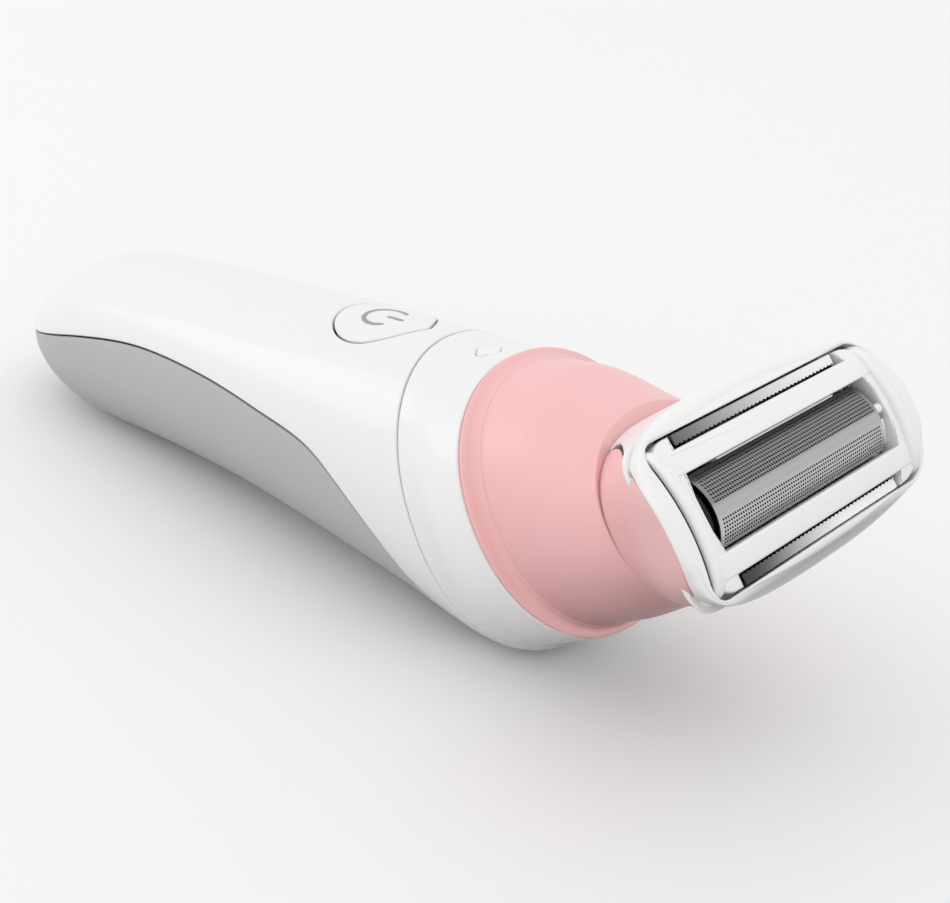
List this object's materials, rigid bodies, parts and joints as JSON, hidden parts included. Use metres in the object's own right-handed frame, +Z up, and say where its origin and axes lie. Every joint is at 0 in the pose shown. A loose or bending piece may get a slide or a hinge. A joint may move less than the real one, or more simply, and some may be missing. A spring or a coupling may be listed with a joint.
{
  "type": "cordless foil shaver",
  "caption": "Cordless body shaver lying on its back: curved handle with a grip panel, pull-off angled head with a foil between trimmers.",
  "frame": {"origin": "under the middle of the whole shaver, on the surface it lies on", "axes": "+X from the tail to the shaving head, +Y to the handle's left, +Z up; the button faces up and the foil faces forwards and up"},
  "size_m": [0.1646, 0.055, 0.0532],
  "materials": {
    "white_shell": "smooth satin-gloss white moulding",
    "grey_grip": "matt soft-touch overmould, fine grain",
    "pink_plastic": "glossy pale pink moulding",
    "inner_plastic": "moulded, unpolished",
    "dark_plastic": "moulded",
    "seal_rubber": "matt",
    "steel": "ground and polished",
    "foil_steel": "thin perforated sheet",
    "board": "solder mask",
    "cell_sleeve": "shrink sleeve",
    "lens": "clear, frosted inside",
    "lead_red": "wire insulation"
  },
  "bodies": {
    "handle": {"top_shell": "white_shell", "rear_grip": "grey_grip", "collar_ring": "white_shell", "charge_light": "lens", "neck_band": "pink_plastic", "neck_dome": "pink_plastic", "button_seal": "seal_rubber", "chassis": "inner_plastic", "battery_cell": "cell_sleeve", "battery_contact_rear": "steel", "battery_contact_front": "steel", "circuit_board": "board", "power_switch": "dark_plastic", "charge_socket": "dark_plastic", "charge_pin": "steel", "motor_lead_left": "lead_red", "motor_lead_right": "dark_plastic", "drive_frame": "inner_plastic", "frame_screw_left": "steel", "frame_screw_right": "steel", "motor_can": "steel", "motor_end_cap": "dark_plastic", "lever_pin": "steel", "drive_seal": "seal_rubber"},
    "button": {"power_button": "white_shell"},
    "crank": {"motor_shaft": "steel", "eccentric_cam": "inner_plastic"},
    "lever": {"drive_lever": "inner_plastic"},
    "shaving_head": {"head_housing": "white_shell", "head_base": "inner_plastic", "head_frame": "white_shell", "rear_trimmer_comb": "steel", "front_trimmer_comb": "steel", "float_spring_left": "steel", "float_spring_right": "steel", "tab_spring_left": "steel", "tab_spring_right": "steel"},
    "tab_left": {"release_tab_left": "pink_plastic"},
    "tab_right": {"release_tab_right": "pink_plastic"},
    "foil_unit": {"foil_frame": "white_shell", "shaving_foil": "foil_steel"},
    "cutter": {"cutter_blades": "steel", "cutter_carrier": "inner_plastic"},
    "trimmer_bridge": {"drive_bridge": "inner_plastic", "rear_trimmer_blade": "steel", "front_trimmer_blade": "steel"}
  },
  "joints": [
    {"name": "button_press", "type": "slide", "parent": "handle", "child": "button", "axis": [0.1282, 0, -0.9918], "range_m": [0, 0.0004], "stiffness_N_per_m": 1500, "springref_m": -0.0008},
    {"name": "motor_spin", "type": "hinge", "parent": "handle", "child": "crank", "pos_m": [0.03983, 0, 0.02218], "axis": [0.9036, 0, 0.4284], "continuous": true},
    {"name": "lever_swing", "type": "hinge", "parent": "handle", "child": "lever", "pos_m": [0.05392, 0, 0.02886], "axis": [-0.4284, 0, 0.9036], "range_deg": [-3.3, 3.3]},
    {"name": "head_release", "type": "slide", "parent": "handle", "child": "shaving_head", "axis": [0.7306, 0, 0.6828], "range_m": [0, 0.024]},
    {"name": "tab_left_press", "type": "hinge", "parent": "shaving_head", "child": "tab_left", "pos_m": [0.07506, 0.0266, 0.0452], "axis": [-0.6828, 0, 0.7306], "range_deg": [0, 2], "stiffness_Nm_per_rad": 0.5, "springref_deg": -2.86, "deforming": ["tab_spring_left"]},
    {"name": "tab_right_press", "type": "hinge", "parent": "shaving_head", "child": "tab_right", "pos_m": [0.07506, -0.0266, 0.0452], "axis": [0.6828, 0, -0.7306], "range_deg": [0, 2], "stiffness_Nm_per_rad": 0.5, "springref_deg": -2.86, "deforming": ["tab_spring_right"]},
    {"name": "foil_float", "type": "slide", "parent": "shaving_head", "child": "foil_unit", "axis": [-0.7306, 0, -0.6828], "range_m": [0, 0.0012], "stiffness_N_per_m": 600, "springref_m": -0.0015, "deforming": ["float_spring_left", "float_spring_right"]},
    {"name": "cutter_slide", "type": "slide", "parent": "foil_unit", "child": "cutter", "axis": [0, 1, 0], "range_m": [-0.001, 0.001]},
    {"name": "trimmer_slide", "type": "slide", "parent": "shaving_head", "child": "trimmer_bridge", "axis": [0, 1, 0], "range_m": [-0.00105, 0.00105]}
  ],
  "couplings": [
    {"joint": "lever_swing", "follows": "cutter_slide", "rad_per_m": 56.818},
    {"joint": "trimmer_slide", "follows": "cutter_slide", "ratio": 1}
  ]
}
